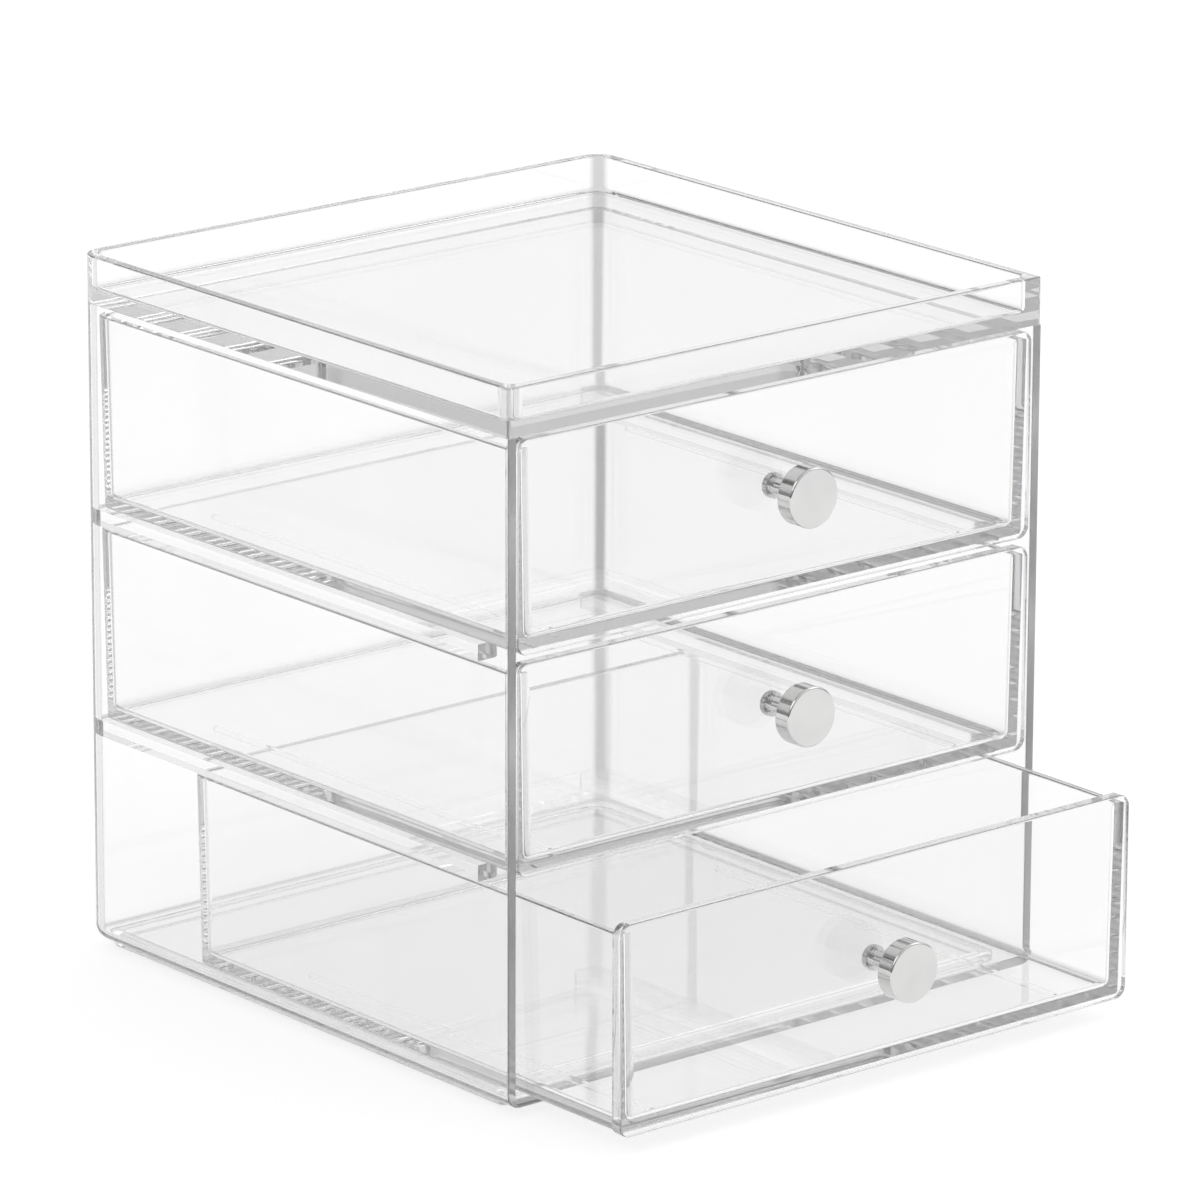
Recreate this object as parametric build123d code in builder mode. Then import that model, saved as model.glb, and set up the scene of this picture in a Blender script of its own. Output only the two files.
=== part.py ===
from build123d import *
import math
import os

# Clear three-drawer organizer with a tray top, in millimetres.
# Origin: middle of the footprint, on the surface it stands on. +Z is up, the drawers open towards -Y.

# Case: one moulding with floor, sides and back, open at the front and under the tray
case_width = 165.0
case_depth = 165.0
case_wall = 2.5
case_floor = 2.4
case_corner_radius = 6.5
case_floor_radius = 4.0
case_inner_radius = 0.8
case_edge_round = 0.4

# Foot ring under the floor, which drops inside the tray rim of a second organizer
foot_height = 2.4
foot_wall = 3.0
foot_side_inset = 5.0
foot_front_inset = 8.0
foot_rear_inset = 3.6
foot_corner_radius = 2.5
foot_inner_radius = 1.2
foot_edge_round = 0.8

# Runner ledges on the inside of both sides, under every drawer but the lowest
ledge_width = 7.0
ledge_under_clearance = 0.9
ledge_front_setback = 12.5
ledge_front_radius = 2.5

# Tray lid bonded on the top edges of the case
tray_height = 11.8
tray_floor = 3.0
rim_wall = 3.0
tray_front_radius = 1.0
recess_front_radius = 2.5
tray_inner_round = 1.3
rim_edge_round = 0.5
bond_line = 0.1

# Drawers: front panel, sides, back and floor in one moulding, all alike.
# The sides and back lean outward from the floor by drawer_wall_lean, in degrees.
drawer_levels = ("bottom", "middle", "top")
panel_height = 51.6
panel_thickness = 3.0
panel_corner_radius = 3.0
panel_edge_round = 0.4
panel_gap = 2.0
panel_side_clearance = 0.4
panel_floor_clearance = 0.4
panel_top_clearance = 0.9
side_setback = 0.4
side_drop = 2.3
side_edge_round = 0.5
drawer_wall = 2.3
drawer_wall_lean = 1.0
drawer_floor = 2.2
drawer_floor_raise = 0.8
drawer_corner_radius = 3.2
drawer_outer_radius = 0.8
drawer_inner_corner_radius = 2.2
drawer_inner_radius = 2.0
drawer_back_clearance = 1.1
run_gap = 0.2

# Glide ribs under each drawer floor
rib_width = 1.2
rib_from_middle = 63.5
rib_from_panel_front = 8.4
rib_from_back = 28.0

# Knobs: a plated disc with a low domed face on a stem, held by a screw from inside the drawer
knob_diameter = 14.8
knob_disc_thickness = 5.0
knob_reach = 12.0
knob_stem_diameter = 5.0
knob_stem_flare = 1.2
knob_edge_round = 0.5
knob_dome_rise = 0.35
knob_above_middle = 0.8
knob_bore_spare = 1.1
seat_gap = 0.05

screw_diameter = 3.0
screw_head_diameter = 6.2
screw_head_height = 2.0
screw_head_round = 0.8
screw_length = 9.0
screw_thread_clearance = 0.05
screw_hole_clearance = 0.3
screw_slot_width = 0.9
screw_slot_length = 3.6
screw_slot_depth = 1.0

# How far the lowest drawer stands open
bottom_pull = 37.3

# Length by which cuts run past the faces they open
overrun = 1.0

# Places worked out from the sizes above
front_y = -case_depth / 2
back_y = case_depth / 2
inner_half_width = case_width / 2 - case_wall
inner_back_y = back_y - case_wall
foot_middle_y = (foot_front_inset - foot_rear_inset) / 2
floor_top_z = foot_height + case_floor
lowest_panel_z = floor_top_z + panel_floor_clearance
drawer_pitch = panel_height + panel_gap
case_top_z = lowest_panel_z + len(drawer_levels) * drawer_pitch - panel_gap + panel_top_clearance
panel_width = 2 * (inner_half_width - panel_side_clearance)
drawer_half_width = panel_width / 2 - side_setback
drawer_depth = case_depth - case_wall - drawer_back_clearance
side_height = panel_height - side_drop - drawer_floor_raise
lean_slope = math.tan(math.radians(drawer_wall_lean))
base_half_width = drawer_half_width - side_height * lean_slope
base_depth = drawer_depth - side_height * lean_slope
inner_half_base = base_half_width + drawer_floor * lean_slope - drawer_wall
inner_depth_base = base_depth + drawer_floor * lean_slope - drawer_wall
rib_height = drawer_floor_raise + panel_floor_clearance - run_gap
ledge_height = panel_gap + drawer_floor_raise - run_gap + side_drop - ledge_under_clearance
knob_bore_depth = screw_length - panel_thickness - 2 * seat_gap + knob_bore_spare
panel_z = {level: lowest_panel_z + i * drawer_pitch for i, level in enumerate(drawer_levels)}
panel_front_y = {level: front_y for level in drawer_levels}
panel_front_y["bottom"] = front_y - bottom_pull


def save(part, label):
    part.label = label
    export_step(part, f"parts/{label}.step")


def front_plane(y, z):
    """Upright plane facing the viewer, its own Y along +Z."""
    return Plane(origin=(0, y, z), x_dir=(1, 0, 0), z_dir=(0, -1, 0))


def make_case():
    with BuildPart() as cavity:
        with BuildSketch(Plane((0, inner_back_y, floor_top_z))) as plan:
            Rectangle(2 * inner_half_width, inner_back_y - front_y + overrun, align=(Align.CENTER, Align.MAX))
            fillet(plan.vertices().group_by(Axis.Y)[-1], radius=case_corner_radius - case_wall)
        extrude(amount=case_top_z - floor_top_z + overrun)
        floor_edges = cavity.edges().group_by(Axis.Z)[0].sort_by(Axis.Y)[1:]
        fillet(floor_edges, radius=case_inner_radius)

    with BuildPart() as case_shell:
        with BuildSketch(Plane.XY.offset(foot_height)) as plan:
            Rectangle(case_width, case_depth)
            fillet(plan.vertices().group_by(Axis.Y)[-1], radius=case_corner_radius)
        extrude(amount=case_top_z - foot_height)
        floor_edges = case_shell.edges().group_by(Axis.Z)[0].sort_by(Axis.Y)[1:]
        fillet(floor_edges, radius=case_floor_radius)
        add(cavity.part, mode=Mode.SUBTRACT)

        # Front edge of the floor and both sides, rounded over
        front_face = case_shell.faces().filter_by(Axis.Y).sort_by(Axis.Y)[0]
        fillet(front_face.edges().group_by(Axis.Z)[:-1], radius=case_edge_round)

        # Runner ledges, rooted halfway into the side and the back
        ledge_length = back_y - case_wall / 2 - front_y - ledge_front_setback
        for level in drawer_levels[1:]:
            ledge_top_z = panel_z[level] + drawer_floor_raise - run_gap
            for side in (-1, 1):
                ledge_middle_x = side * (inner_half_width + case_wall / 2 - (ledge_width + case_wall / 2) / 2)
                with BuildSketch(Plane((ledge_middle_x, front_y + ledge_front_setback, ledge_top_z))) as plan:
                    Rectangle(ledge_width + case_wall / 2, ledge_length, align=(Align.CENTER, Align.MIN))
                    inner_corner = plan.vertices().group_by(Axis.Y)[0].sort_by(Axis.X)[(1 - side) // 2]
                    fillet(inner_corner, radius=ledge_front_radius)
                    rear_corner = plan.vertices().group_by(Axis.Y)[-1].sort_by(Axis.X)[(1 + side) // 2]
                    fillet(rear_corner, radius=case_corner_radius - case_wall / 2)
                extrude(amount=-ledge_height)

        # Foot ring, rooted halfway into the floor
        foot_width = case_width - 2 * foot_side_inset
        foot_depth = case_depth - foot_front_inset - foot_rear_inset
        with BuildSketch(Plane((0, foot_middle_y, 0))):
            RectangleRounded(foot_width, foot_depth, foot_corner_radius)
            hole = (foot_width - 2 * foot_wall, foot_depth - 2 * foot_wall)
            RectangleRounded(*hole, foot_inner_radius, mode=Mode.SUBTRACT)
        extrude(amount=foot_height + case_floor / 2)
        fillet(case_shell.edges().group_by(Axis.Z)[0], radius=foot_edge_round)
    return case_shell.part


def make_tray():
    with BuildPart() as top_tray:
        with BuildSketch(Plane.XY.offset(case_top_z + bond_line)) as plan:
            Rectangle(case_width, case_depth)
            fillet(plan.vertices().group_by(Axis.Y)[0], radius=tray_front_radius)
            fillet(plan.vertices().group_by(Axis.Y)[-1], radius=case_corner_radius)
        extrude(amount=tray_height)
        with BuildSketch(Plane.XY.offset(case_top_z + bond_line + tray_floor)) as plan:
            Rectangle(case_width - 2 * rim_wall, case_depth - 2 * rim_wall)
            fillet(plan.vertices().group_by(Axis.Y)[0], radius=recess_front_radius)
            fillet(plan.vertices().group_by(Axis.Y)[-1], radius=case_corner_radius - rim_wall)
        extrude(amount=tray_height, mode=Mode.SUBTRACT)
        recess_floor = top_tray.faces().filter_by(Axis.Z).sort_by(Axis.Z)[1]
        fillet(recess_floor.edges(), radius=tray_inner_round)
        rim_top = top_tray.faces().filter_by(Axis.Z).sort_by(Axis.Z)[-1]
        fillet(rim_top.edges(), radius=rim_edge_round)
    return top_tray.part


def make_drawer(level):
    front = panel_front_y[level]
    bottom = panel_z[level]
    base = bottom + drawer_floor_raise
    panel_back = Plane(origin=(0, front + panel_thickness, 0), x_dir=(1, 0, 0), z_dir=(0, 1, 0))

    with BuildPart() as hollow:
        with BuildSketch(Plane((0, front, base + drawer_floor))) as plan:
            Rectangle(2 * inner_half_base, inner_depth_base, align=(Align.CENTER, Align.MIN))
            fillet(plan.vertices().group_by(Axis.Y)[-1], radius=drawer_inner_corner_radius)
        extrude(amount=panel_height, taper=-drawer_wall_lean)
        split(bisect_by=panel_back, keep=Keep.TOP)
        floor_edges = hollow.edges().group_by(Axis.Z)[0]
        front_uprights = hollow.edges().group_by(Axis.Y)[0].sort_by(Axis.Z)[1:-1]
        fillet(floor_edges + front_uprights, radius=drawer_inner_radius)

    with BuildPart() as drawer:
        with BuildSketch(Plane((0, front, base))) as plan:
            Rectangle(2 * base_half_width, base_depth, align=(Align.CENTER, Align.MIN))
            fillet(plan.vertices().group_by(Axis.Y)[-1], radius=drawer_corner_radius)
        extrude(amount=side_height, taper=-drawer_wall_lean)
        split(bisect_by=panel_back, keep=Keep.TOP)
        floor_edges = drawer.edges().group_by(Axis.Z)[0].sort_by(Axis.Y)[1:]
        fillet(floor_edges, radius=drawer_outer_radius)
        add(hollow.part, mode=Mode.SUBTRACT)
        wall_top = drawer.faces().filter_by(Axis.Z).sort_by(Axis.Z)[-1]
        fillet(wall_top.edges().group_by(Axis.Y)[1:], radius=side_edge_round)

        # Front panel, standing proud of the sides all round
        with BuildSketch(front_plane(front, bottom + panel_height / 2)):
            RectangleRounded(panel_width, panel_height, panel_corner_radius)
        extrude(amount=-panel_thickness)
        panel_face = drawer.faces().filter_by(Axis.Y).sort_by(Axis.Y)[0]
        fillet(panel_face.edges(), radius=panel_edge_round)
        with BuildSketch(front_plane(front, bottom + panel_height / 2 + knob_above_middle)):
            Circle(screw_diameter / 2 + screw_hole_clearance)
        extrude(amount=-panel_thickness, mode=Mode.SUBTRACT)

        # Glide ribs, rooted halfway into the floor
        rib_length = drawer_depth - rib_from_panel_front - rib_from_back
        rib_middle_y = front + rib_from_panel_front + rib_length / 2
        with BuildSketch(Plane((0, rib_middle_y, base + drawer_floor / 2))):
            with Locations((-rib_from_middle, 0), (rib_from_middle, 0)):
                SlotOverall(rib_length, rib_width, rotation=90)
        extrude(amount=-(rib_height + drawer_floor / 2))
    return drawer.part


def make_knob(level):
    face_y = panel_front_y[level] - seat_gap
    middle_z = panel_z[level] + panel_height / 2 + knob_above_middle
    bore_radius = screw_diameter / 2 + screw_thread_clearance
    disc_radius = knob_diameter / 2
    dome_radius = (disc_radius**2 + knob_dome_rise**2) / (2 * knob_dome_rise)
    dome_middle_y = face_y - knob_reach - knob_dome_rise + dome_radius
    neck = knob_reach - knob_disc_thickness
    with BuildPart() as knob:
        with BuildSketch(front_plane(face_y, middle_z)):
            Circle(knob_stem_diameter / 2)
        extrude(amount=knob_reach)
        with BuildSketch(front_plane(face_y - neck, middle_z)):
            Circle(disc_radius)
        extrude(amount=knob_disc_thickness + knob_dome_rise)
        with Locations((0, dome_middle_y, middle_z)):
            Sphere(dome_radius, mode=Mode.INTERSECT)
        disc_edges = knob.edges().filter_by(GeomType.CIRCLE).group_by(SortBy.RADIUS)[-1]
        fillet(disc_edges, radius=knob_edge_round)
        stem_root = knob.edges().filter_by(GeomType.CIRCLE).group_by(Axis.Y)[-2].sort_by(SortBy.RADIUS)[0]
        fillet(stem_root, radius=knob_stem_flare)
        with BuildSketch(front_plane(face_y, middle_z)):
            Circle(bore_radius)
        extrude(amount=knob_bore_depth, mode=Mode.SUBTRACT)
    return knob.part


def make_screw(level):
    seat_y = panel_front_y[level] + panel_thickness + seat_gap
    middle_z = panel_z[level] + panel_height / 2 + knob_above_middle
    with BuildPart() as screw:
        with BuildSketch(front_plane(seat_y, middle_z)):
            Circle(screw_head_diameter / 2)
        extrude(amount=-screw_head_height)
        fillet(screw.edges().sort_by(Axis.Y)[-1], radius=screw_head_round)
        with BuildSketch(front_plane(seat_y, middle_z)):
            Circle(screw_diameter / 2)
        extrude(amount=screw_length)
        with BuildSketch(front_plane(seat_y + screw_head_height, middle_z)):
            Rectangle(screw_slot_length, screw_slot_width)
            Rectangle(screw_slot_width, screw_slot_length)
        extrude(amount=screw_slot_depth, mode=Mode.SUBTRACT)
    return screw.part


os.makedirs("parts", exist_ok=True)
save(make_case(), "case_shell")
save(make_tray(), "top_tray")
for level in drawer_levels:
    save(make_drawer(level), f"drawer_{level}")
    save(make_knob(level), f"knob_{level}")
    save(make_screw(level), f"knob_screw_{level}")
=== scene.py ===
import math
import bpy
from mathutils import Matrix, Vector

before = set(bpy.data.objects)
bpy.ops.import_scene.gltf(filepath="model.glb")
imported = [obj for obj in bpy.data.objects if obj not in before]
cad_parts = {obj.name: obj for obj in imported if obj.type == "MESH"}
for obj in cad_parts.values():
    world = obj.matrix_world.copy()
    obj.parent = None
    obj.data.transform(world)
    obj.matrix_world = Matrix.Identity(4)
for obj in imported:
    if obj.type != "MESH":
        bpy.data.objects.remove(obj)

scene = bpy.context.scene
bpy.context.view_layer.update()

# Camera, worked out from the straight edges of the box in the photograph
photo_side = 1200
focal_pixels = 8590.82
camera_eye = Vector((-1.27695, -1.54404, 0.68489))
camera_azimuth = math.radians(-39.896)
camera_elevation = math.radians(16.469)
camera_roll = math.radians(0.2101)
film_width = 36.0
clip_near, clip_far = 0.05, 50.0

# Studio: a white wall behind the box, a white panel to its right, a dimmer room in front
wall_direction = (0.64, 0.77, 0.0)
wall_levels = ((0.0, 0.4), (0.3, 0.5), (0.5, 0.75), (0.75, 1.0))
height_levels = (
    (0.0, 0.4), (0.13, 0.4), (0.19, 0.86), (0.32, 0.86), (0.38, 1.0),
    (0.42, 1.0), (0.47, 0.12), (0.56, 0.12), (0.62, 0.9), (1.0, 0.8),
)
panel_direction = (0.77, -0.64, 0.0)
panel_levels = ((0.5, 0.0), (0.66, 0.9), (0.95, 1.0))
panel_heights = ((0.14, 0.0), (0.22, 1.0), (0.9, 0.9))

softbox_aim = (0.0, 0.0, 0.08)
left_softbox_at, left_softbox_side, left_softbox_watts = (-1.3, -0.5, 1.3), 1.0, 6.0
right_softbox_at, right_softbox_side, right_softbox_watts = (1.2, -0.9, 1.1), 0.8, 3.0
light_bounces = 96

# Floor: the same white for the camera, for mirrors and through the plastic
floor_side = 24.0
floor_colour = (0.35, 0.35, 0.35, 1.0)
floor_glow = 0.8

# Clear plastic: nearly colourless, faintly greyer with depth, with fine rub marks and a slow mould ripple
plastic_dark, plastic_pale = (0.975, 0.975, 0.975, 1.0), (0.995, 0.995, 0.995, 1.0)
plastic_ior = 1.49
plastic_depth_colour, plastic_depth_density = (0.58, 0.58, 0.58, 1.0), 5.5
plastic_mark_scale, plastic_ripple_scale = 700.0, 22.0
rubbed_from, rubbed_to = 0.6, 0.85
rubbed_roughness = 0.04
ripple_strength, ripple_height = 0.06, 0.0004

# Plated knobs and steel screws
metal_mark_scale, metal_ripple_scale = 1800.0, 120.0
knob_dark, knob_pale = (0.62, 0.62, 0.62, 1.0), (0.72, 0.72, 0.71, 1.0)
knob_smooth, knob_rough = 0.02, 0.07
screw_dark, screw_pale = (0.55, 0.55, 0.56, 1.0), (0.72, 0.72, 0.72, 1.0)
screw_smooth, screw_rough = 0.18, 0.35

# Rub marks and ripple, as noise
mark_detail, mark_roughness = 3.0, 0.65
ripple_detail = 1.0

# Rounded edges are painted grey in the plastic's base colour, a painted shade standing in for the darker
# surroundings their bends refract; the rounded edges and the front ends of the case's sides are also
# rougher, so they read greyer than the flat walls
edge_flat, edge_full = 0.995, 0.88
edge_painted_shade = (0.66, 0.66, 0.66, 1.0)
edge_haze = 0.1
strip_haze = 0.3
strip_front_y = -0.0823
strip_inner_x = 0.0798


def add_camera():
    data = bpy.data.cameras.new("photo_camera")
    data.sensor_width = film_width
    data.lens = film_width * focal_pixels / photo_side
    data.clip_start, data.clip_end = clip_near, clip_far
    camera = bpy.data.objects.new("photo_camera", data)
    scene.collection.objects.link(camera)
    a, e, r = camera_azimuth, camera_elevation, camera_roll
    back = Vector((math.sin(a) * math.cos(e), -math.cos(a) * math.cos(e), math.sin(e)))
    level_right = Vector((math.cos(a), math.sin(a), 0.0))
    level_up = back.cross(level_right)
    right = math.cos(r) * level_right + math.sin(r) * level_up
    up = back.cross(right)
    camera.matrix_world = Matrix((
        (right.x, up.x, back.x, camera_eye.x),
        (right.y, up.y, back.y, camera_eye.y),
        (right.z, up.z, back.z, camera_eye.z),
        (0.0, 0.0, 0.0, 1.0),
    ))
    scene.camera = camera


def new_material(name):
    material = bpy.data.materials.new(name)
    material.use_nodes = True
    tree = material.node_tree
    tree.nodes.clear()
    return material, tree


def place(tree, kind, x, y, **settings):
    node = tree.nodes.new(kind)
    node.location = (x, y)
    for key, value in settings.items():
        setattr(node, key, value)
    return node


def handling_group():
    """Fine rub marks and a slow mould ripple, shared by the plastic and the metal."""
    group = bpy.data.node_groups.new("handling_marks", "ShaderNodeTree")
    face = group.interface
    face.new_socket("Mark Scale", in_out="INPUT", socket_type="NodeSocketFloat")
    face.new_socket("Ripple Scale", in_out="INPUT", socket_type="NodeSocketFloat")
    face.new_socket("Marks", in_out="OUTPUT", socket_type="NodeSocketFloat")
    face.new_socket("Ripple", in_out="OUTPUT", socket_type="NodeSocketFloat")
    entry = place(group, "NodeGroupInput", -700, 0)
    leave = place(group, "NodeGroupOutput", 500, 0)
    spot = place(group, "ShaderNodeTexCoord", -700, -200)
    marks = place(group, "ShaderNodeTexNoise", -300, 120)
    marks.inputs["Detail"].default_value = mark_detail
    marks.inputs["Roughness"].default_value = mark_roughness
    ripple = place(group, "ShaderNodeTexNoise", -300, -160)
    ripple.inputs["Detail"].default_value = ripple_detail
    group.links.new(spot.outputs["Object"], marks.inputs["Vector"])
    group.links.new(spot.outputs["Object"], ripple.inputs["Vector"])
    group.links.new(entry.outputs["Mark Scale"], marks.inputs["Scale"])
    group.links.new(entry.outputs["Ripple Scale"], ripple.inputs["Scale"])
    group.links.new(marks.outputs["Fac"], leave.inputs["Marks"])
    group.links.new(ripple.outputs["Fac"], leave.inputs["Ripple"])
    return group


def edge_group():
    """One on rounded edges, where the surface turns from one flat side to the next, else zero."""
    group = bpy.data.node_groups.new("rounded_edges", "ShaderNodeTree")
    face = group.interface
    face.new_socket("Flat From", in_out="INPUT", socket_type="NodeSocketFloat").default_value = edge_flat
    face.new_socket("Edge", in_out="OUTPUT", socket_type="NodeSocketFloat")
    entry = place(group, "NodeGroupInput", -900, -200)
    leave = place(group, "NodeGroupOutput", 300, 0)
    shape = place(group, "ShaderNodeNewGeometry", -900, 0)
    size = place(group, "ShaderNodeVectorMath", -700, 0, operation="ABSOLUTE")
    part = place(group, "ShaderNodeSeparateXYZ", -500, 0)
    level = place(group, "ShaderNodeMath", -300, 0, operation="MAXIMUM")
    most = place(group, "ShaderNodeMath", -100, 0, operation="MAXIMUM")
    edge = place(group, "ShaderNodeMapRange", 100, 0)
    edge.inputs["From Min"].default_value = edge_full
    edge.inputs["To Min"].default_value = 1.0
    edge.inputs["To Max"].default_value = 0.0
    group.links.new(shape.outputs["Normal"], size.inputs[0])
    group.links.new(size.outputs[0], part.inputs[0])
    group.links.new(part.outputs["X"], level.inputs[0])
    group.links.new(part.outputs["Y"], level.inputs[1])
    group.links.new(level.outputs[0], most.inputs[0])
    group.links.new(part.outputs["Z"], most.inputs[1])
    group.links.new(most.outputs[0], edge.inputs["Value"])
    group.links.new(entry.outputs["Flat From"], edge.inputs["From Max"])
    group.links.new(edge.outputs["Result"], leave.inputs["Edge"])
    return group


def front_strip_mask(tree, x, y):
    """One on the narrow front ends of the case's two sides, else zero."""
    spot = place(tree, "ShaderNodeTexCoord", x, y)
    part = place(tree, "ShaderNodeSeparateXYZ", x + 200, y)
    front = place(tree, "ShaderNodeMath", x + 400, y, operation="LESS_THAN")
    front.inputs[1].default_value = strip_front_y
    wide = place(tree, "ShaderNodeMath", x + 400, y - 150, operation="ABSOLUTE")
    outer = place(tree, "ShaderNodeMath", x + 600, y - 150, operation="GREATER_THAN")
    outer.inputs[1].default_value = strip_inner_x
    both = place(tree, "ShaderNodeMath", x + 800, y, operation="MULTIPLY")
    tree.links.new(spot.outputs["Object"], part.inputs[0])
    tree.links.new(part.outputs["Y"], front.inputs[0])
    tree.links.new(part.outputs["X"], wide.inputs[0])
    tree.links.new(wide.outputs[0], outer.inputs[0])
    tree.links.new(front.outputs[0], both.inputs[0])
    tree.links.new(outer.outputs[0], both.inputs[1])
    return both.outputs[0]


def clear_plastic(name, handling, edges, case=False):
    material, tree = new_material(name)
    marks = place(tree, "ShaderNodeGroup", -900, 0, node_tree=handling)
    marks.inputs["Mark Scale"].default_value = plastic_mark_scale
    marks.inputs["Ripple Scale"].default_value = plastic_ripple_scale
    tint = place(tree, "ShaderNodeMix", -500, 250, data_type="RGBA")
    tint.inputs["A"].default_value = plastic_dark
    tint.inputs["B"].default_value = plastic_pale
    rough = place(tree, "ShaderNodeMapRange", -500, 0)
    rough.inputs["From Min"].default_value = rubbed_from
    rough.inputs["From Max"].default_value = rubbed_to
    rough.inputs["To Min"].default_value = 0.0
    rough.inputs["To Max"].default_value = rubbed_roughness
    rounded = place(tree, "ShaderNodeGroup", -900, -300, node_tree=edges)
    hazed = rounded.outputs["Edge"]
    # Painted shade: the plastic's colour turns grey on rounded edges, in place of the darker surroundings
    # that the bends refract
    grey = place(tree, "ShaderNodeMix", -300, 250, data_type="RGBA")
    grey.inputs["B"].default_value = edge_painted_shade
    if case:
        share = place(tree, "ShaderNodeMath", -900, -500, operation="MULTIPLY")
        share.inputs[1].default_value = strip_haze / edge_haze
        either = place(tree, "ShaderNodeMath", -700, -400, operation="MAXIMUM")
        tree.links.new(front_strip_mask(tree, -1900, -500), share.inputs[0])
        tree.links.new(hazed, either.inputs[0])
        tree.links.new(share.outputs[0], either.inputs[1])
        hazed = either.outputs[0]
    soft = place(tree, "ShaderNodeMath", -500, -180, operation="MULTIPLY_ADD")
    soft.inputs[1].default_value = edge_haze
    bump = place(tree, "ShaderNodeBump", -300, -250)
    bump.inputs["Strength"].default_value = ripple_strength
    bump.inputs["Distance"].default_value = ripple_height
    shader = place(tree, "ShaderNodeBsdfPrincipled", 0, 0)
    shader.inputs["Metallic"].default_value = 0.0
    shader.inputs["Transmission Weight"].default_value = 1.0
    shader.inputs["IOR"].default_value = plastic_ior
    depth = place(tree, "ShaderNodeVolumeAbsorption", 0, -700)
    depth.inputs["Color"].default_value = plastic_depth_colour
    depth.inputs["Density"].default_value = plastic_depth_density
    leave = place(tree, "ShaderNodeOutputMaterial", 400, 0)
    tree.links.new(marks.outputs["Ripple"], tint.inputs["Factor"])
    tree.links.new(tint.outputs["Result"], grey.inputs["A"])
    tree.links.new(rounded.outputs["Edge"], grey.inputs["Factor"])
    tree.links.new(grey.outputs["Result"], shader.inputs["Base Color"])
    tree.links.new(marks.outputs["Marks"], rough.inputs["Value"])
    tree.links.new(hazed, soft.inputs[0])
    tree.links.new(rough.outputs["Result"], soft.inputs[2])
    tree.links.new(soft.outputs[0], shader.inputs["Roughness"])
    tree.links.new(marks.outputs["Ripple"], bump.inputs["Height"])
    tree.links.new(bump.outputs["Normal"], shader.inputs["Normal"])
    tree.links.new(shader.outputs["BSDF"], leave.inputs["Surface"])
    tree.links.new(depth.outputs["Volume"], leave.inputs["Volume"])
    return material


def bright_metal(name, handling, dark, pale, smooth, roughest):
    material, tree = new_material(name)
    marks = place(tree, "ShaderNodeGroup", -900, 0, node_tree=handling)
    marks.inputs["Mark Scale"].default_value = metal_mark_scale
    marks.inputs["Ripple Scale"].default_value = metal_ripple_scale
    tint = place(tree, "ShaderNodeMix", -500, 250, data_type="RGBA")
    tint.inputs["A"].default_value = dark
    tint.inputs["B"].default_value = pale
    rough = place(tree, "ShaderNodeMapRange", -500, 0)
    rough.inputs["To Min"].default_value = smooth
    rough.inputs["To Max"].default_value = roughest
    shader = place(tree, "ShaderNodeBsdfPrincipled", 0, 0)
    shader.inputs["Metallic"].default_value = 1.0
    leave = place(tree, "ShaderNodeOutputMaterial", 400, 0)
    tree.links.new(marks.outputs["Ripple"], tint.inputs["Factor"])
    tree.links.new(tint.outputs["Result"], shader.inputs["Base Color"])
    tree.links.new(marks.outputs["Marks"], rough.inputs["Value"])
    tree.links.new(rough.outputs["Result"], shader.inputs["Roughness"])
    tree.links.new(shader.outputs["BSDF"], leave.inputs["Surface"])
    return material


def dress(node, material):
    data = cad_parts[node].data
    data.materials.clear()
    data.materials.append(material)


def seen_rays(tree, x, y):
    """One where the camera, a mirror ray or a ray through the plastic looks, else zero."""
    path = place(tree, "ShaderNodeLightPath", x, y)
    first = place(tree, "ShaderNodeMath", x + 200, y, operation="MAXIMUM")
    both = place(tree, "ShaderNodeMath", x + 400, y, operation="MAXIMUM")
    tree.links.new(path.outputs["Is Camera Ray"], first.inputs[0])
    tree.links.new(path.outputs["Is Glossy Ray"], first.inputs[1])
    tree.links.new(first.outputs[0], both.inputs[0])
    tree.links.new(path.outputs["Is Transmission Ray"], both.inputs[1])
    return both.outputs[0]


def add_floor():
    bpy.ops.object.select_all(action="DESELECT")
    bpy.ops.mesh.primitive_plane_add(size=floor_side, location=(0.0, 0.0, 0.0))
    floor = bpy.context.object
    floor.name = "studio_floor"
    material, tree = new_material("white_sweep")
    matt = place(tree, "ShaderNodeBsdfDiffuse", -200, 0)
    matt.inputs["Color"].default_value = floor_colour
    strength = place(tree, "ShaderNodeMath", -400, -200, operation="MULTIPLY")
    strength.inputs[1].default_value = floor_glow
    lift = place(tree, "ShaderNodeEmission", -200, -200)
    both = place(tree, "ShaderNodeAddShader", 100, 0)
    leave = place(tree, "ShaderNodeOutputMaterial", 300, 0)
    tree.links.new(seen_rays(tree, -1000, -200), strength.inputs[0])
    tree.links.new(strength.outputs[0], lift.inputs["Strength"])
    tree.links.new(matt.outputs[0], both.inputs[0])
    tree.links.new(lift.outputs[0], both.inputs[1])
    tree.links.new(both.outputs[0], leave.inputs["Surface"])
    floor.data.materials.append(material)


def grey_ramp(tree, x, y, levels):
    ramp = place(tree, "ShaderNodeValToRGB", x, y)
    stops = ramp.color_ramp.elements
    for i in (0, -1):
        position, level = levels[i]
        stops[i].position = position
        stops[i].color = (level, level, level, 1.0)
    for position, level in levels[1:-1]:
        stops.new(position).color = (level, level, level, 1.0)
    return ramp


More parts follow.
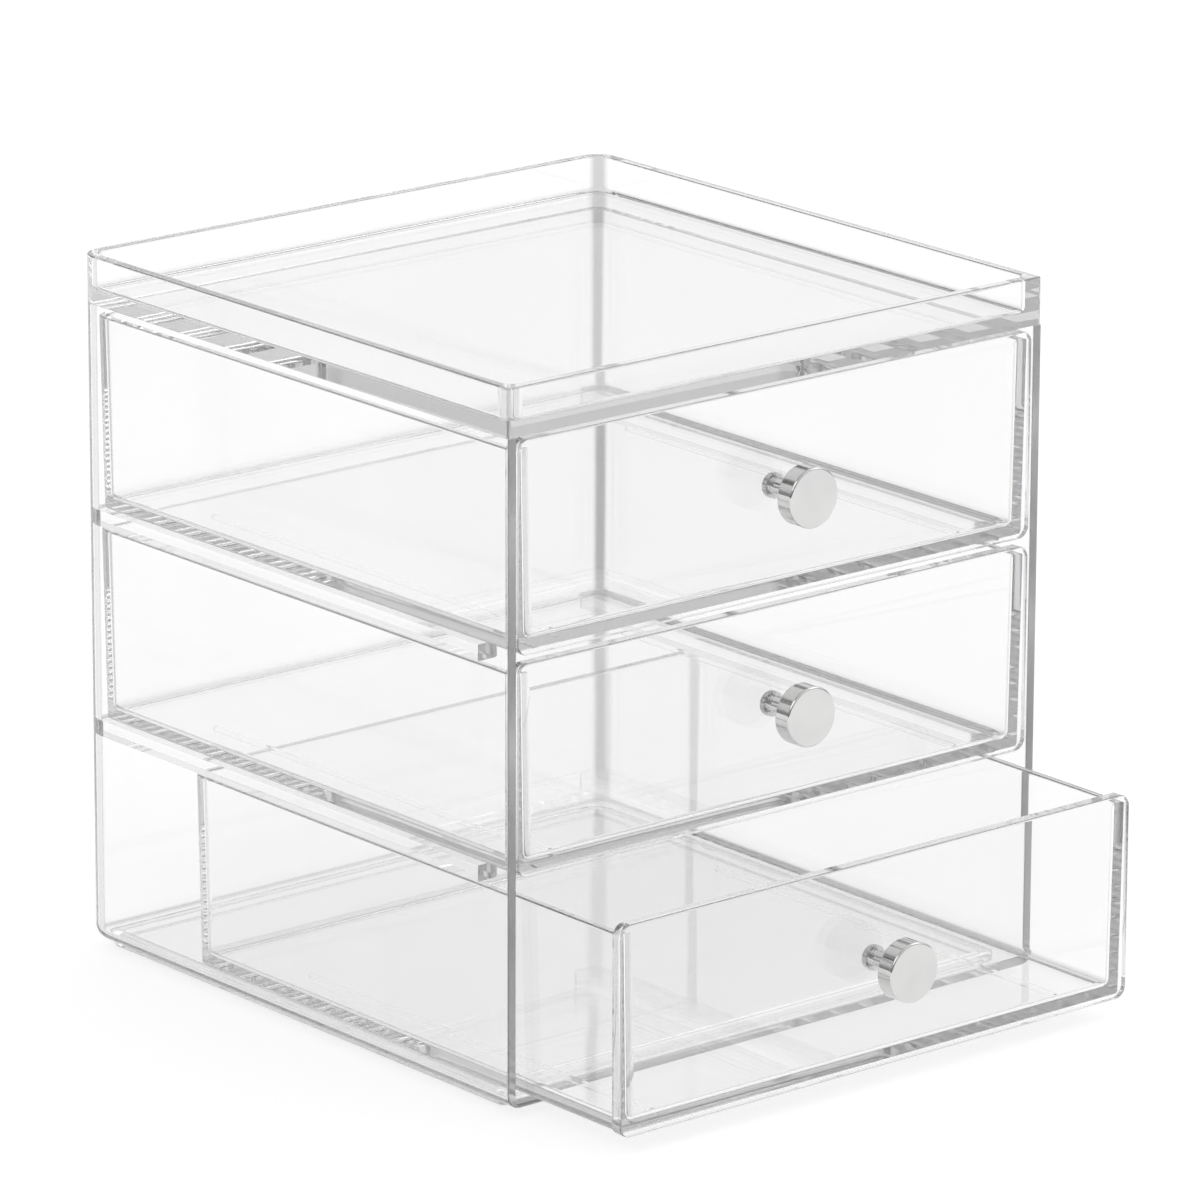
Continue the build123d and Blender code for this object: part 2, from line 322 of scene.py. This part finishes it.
def add_world():
    world = bpy.data.worlds.new("studio")
    scene.world = world
    world.use_nodes = True
    tree = world.node_tree
    tree.nodes.clear()
    spot = place(tree, "ShaderNodeTexCoord", -1200, 0)
    part = place(tree, "ShaderNodeSeparateXYZ", -1000, -200)
    tree.links.new(spot.outputs["Generated"], part.inputs[0])
    screens = (
        (wall_direction, wall_levels, height_levels),
        (panel_direction, panel_levels, panel_heights),
    )
    room = place(tree, "ShaderNodeMath", -200, 300, operation="MAXIMUM")
    for i, (direction, levels, heights) in enumerate(screens):
        facing = place(tree, "ShaderNodeVectorMath", -1000, 400 * i, operation="DOT_PRODUCT")
        facing.inputs[1].default_value = direction
        behind = place(tree, "ShaderNodeMapRange", -800, 400 * i)
        behind.inputs["From Min"].default_value = -1.0
        tone = grey_ramp(tree, -600, 400 * i, levels)
        height = grey_ramp(tree, -600, 400 * i - 200, heights)
        screen = place(tree, "ShaderNodeMath", -300, 400 * i, operation="MULTIPLY")
        tree.links.new(spot.outputs["Generated"], facing.inputs[0])
        tree.links.new(facing.outputs["Value"], behind.inputs["Value"])
        tree.links.new(part.outputs["Z"], height.inputs["Fac"])
        tree.links.new(behind.outputs["Result"], tone.inputs["Fac"])
        tree.links.new(tone.outputs["Color"], screen.inputs[0])
        tree.links.new(height.outputs["Color"], screen.inputs[1])
        tree.links.new(screen.outputs[0], room.inputs[i])
    glow = place(tree, "ShaderNodeBackground", 0, 0)
    glow.inputs["Color"].default_value = (1.0, 1.0, 1.0, 1.0)
    leave = place(tree, "ShaderNodeOutputWorld", 200, 0)
    tree.links.new(room.outputs[0], glow.inputs["Strength"])
    tree.links.new(glow.outputs[0], leave.inputs["Surface"])


def add_softbox(name, place_at, side, watts):
    data = bpy.data.lights.new(name, "AREA")
    data.shape = "SQUARE"
    data.size = side
    data.energy = watts
    lamp = bpy.data.objects.new(name, data)
    scene.collection.objects.link(lamp)
    lamp.location = place_at
    lamp.rotation_euler = (Vector(softbox_aim) - Vector(place_at)).to_track_quat("-Z", "Y").to_euler()


add_camera()
add_world()
add_floor()
add_softbox("softbox_left", left_softbox_at, left_softbox_side, left_softbox_watts)
add_softbox("softbox_right", right_softbox_at, right_softbox_side, right_softbox_watts)

handling = handling_group()
edges = edge_group()
plastic = clear_plastic("clear_moulded_plastic", handling, edges)
case_plastic = clear_plastic("clear_case_plastic", handling, edges, case=True)
plated = bright_metal("plated_knob", handling, knob_dark, knob_pale, knob_smooth, knob_rough)
steel = bright_metal("screw_steel", handling, screw_dark, screw_pale, screw_smooth, screw_rough)
dress("case_shell", case_plastic)
dress("top_tray", plastic)
for level in ("bottom", "middle", "top"):
    dress(f"drawer_{level}", plastic)
    dress(f"knob_{level}", plated)
    dress(f"knob_screw_{level}", steel)

scene.view_settings.view_transform = "Standard"
scene.cycles.max_bounces = light_bounces
scene.cycles.transmission_bounces = light_bounces
scene.cycles.glossy_bounces = light_bounces
